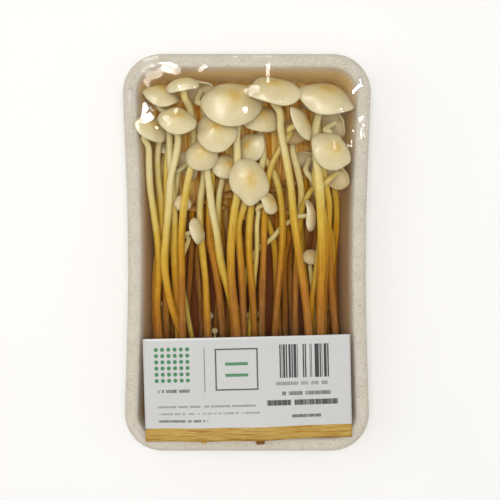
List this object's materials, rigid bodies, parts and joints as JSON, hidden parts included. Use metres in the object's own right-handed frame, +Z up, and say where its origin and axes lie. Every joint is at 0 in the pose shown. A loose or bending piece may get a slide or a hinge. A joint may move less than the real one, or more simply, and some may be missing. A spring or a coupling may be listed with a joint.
{
  "type": "packed enoki mushroom bunch",
  "caption": "Bunch of golden enoki mushrooms, long thin stems with small domed gilled caps, lying lengthwise in a moulded-pulp tray under clear stretch film with a bare paper label",
  "frame": {"origin": "centre of the pack's underside, on the surface it rests on", "axes": "+X across the tray, +Y along it from the cut stem ends to the caps, +Z up out of the tray"},
  "size_m": [0.1278, 0.2054, 0.0395],
  "materials": {
    "mushroom": "moist satin skin, cream caps and golden to amber stems",
    "pulp": "matt moulded pulp with brown flecks",
    "film": "clear glossy stretch film",
    "paper": "smooth white paper with a wood-grain strip"
  },
  "bodies": {
    "root": {"film": "film", "label": "paper", "mushroom_01": "mushroom", "mushroom_02": "mushroom", "mushroom_03": "mushroom", "mushroom_04": "mushroom", "mushroom_05": "mushroom", "mushroom_06": "mushroom", "mushroom_07": "mushroom", "mushroom_08": "mushroom", "mushroom_09": "mushroom", "mushroom_10": "mushroom", "mushroom_11": "mushroom", "mushroom_12": "mushroom", "mushroom_13": "mushroom", "mushroom_14": "mushroom", "mushroom_15": "mushroom", "mushroom_16": "mushroom", "mushroom_17": "mushroom", "mushroom_18": "mushroom", "mushroom_19": "mushroom", "mushroom_20": "mushroom", "mushroom_21": "mushroom", "mushroom_22": "mushroom", "mushroom_23": "mushroom", "mushroom_24": "mushroom", "mushroom_25": "mushroom", "mushroom_26": "mushroom", "mushroom_27": "mushroom", "mushroom_28": "mushroom", "mushroom_29": "mushroom", "mushroom_30": "mushroom", "mushroom_31": "mushroom", "mushroom_32": "mushroom", "mushroom_33": "mushroom", "mushroom_34": "mushroom", "mushroom_35": "mushroom", "mushroom_36": "mushroom", "mushroom_37": "mushroom", "mushroom_38": "mushroom", "mushroom_39": "mushroom", "mushroom_40": "mushroom", "mushroom_41": "mushroom", "mushroom_42": "mushroom", "mushroom_43": "mushroom", "mushroom_44": "mushroom", "mushroom_45": "mushroom", "mushroom_46": "mushroom", "mushroom_47": "mushroom", "mushroom_48": "mushroom", "pin_1": "mushroom", "pin_2": "mushroom", "pin_3": "mushroom", "pin_4": "mushroom", "pin_5": "mushroom", "pin_6": "mushroom", "pin_7": "mushroom", "tray": "pulp"}
  },
  "joints": []
}
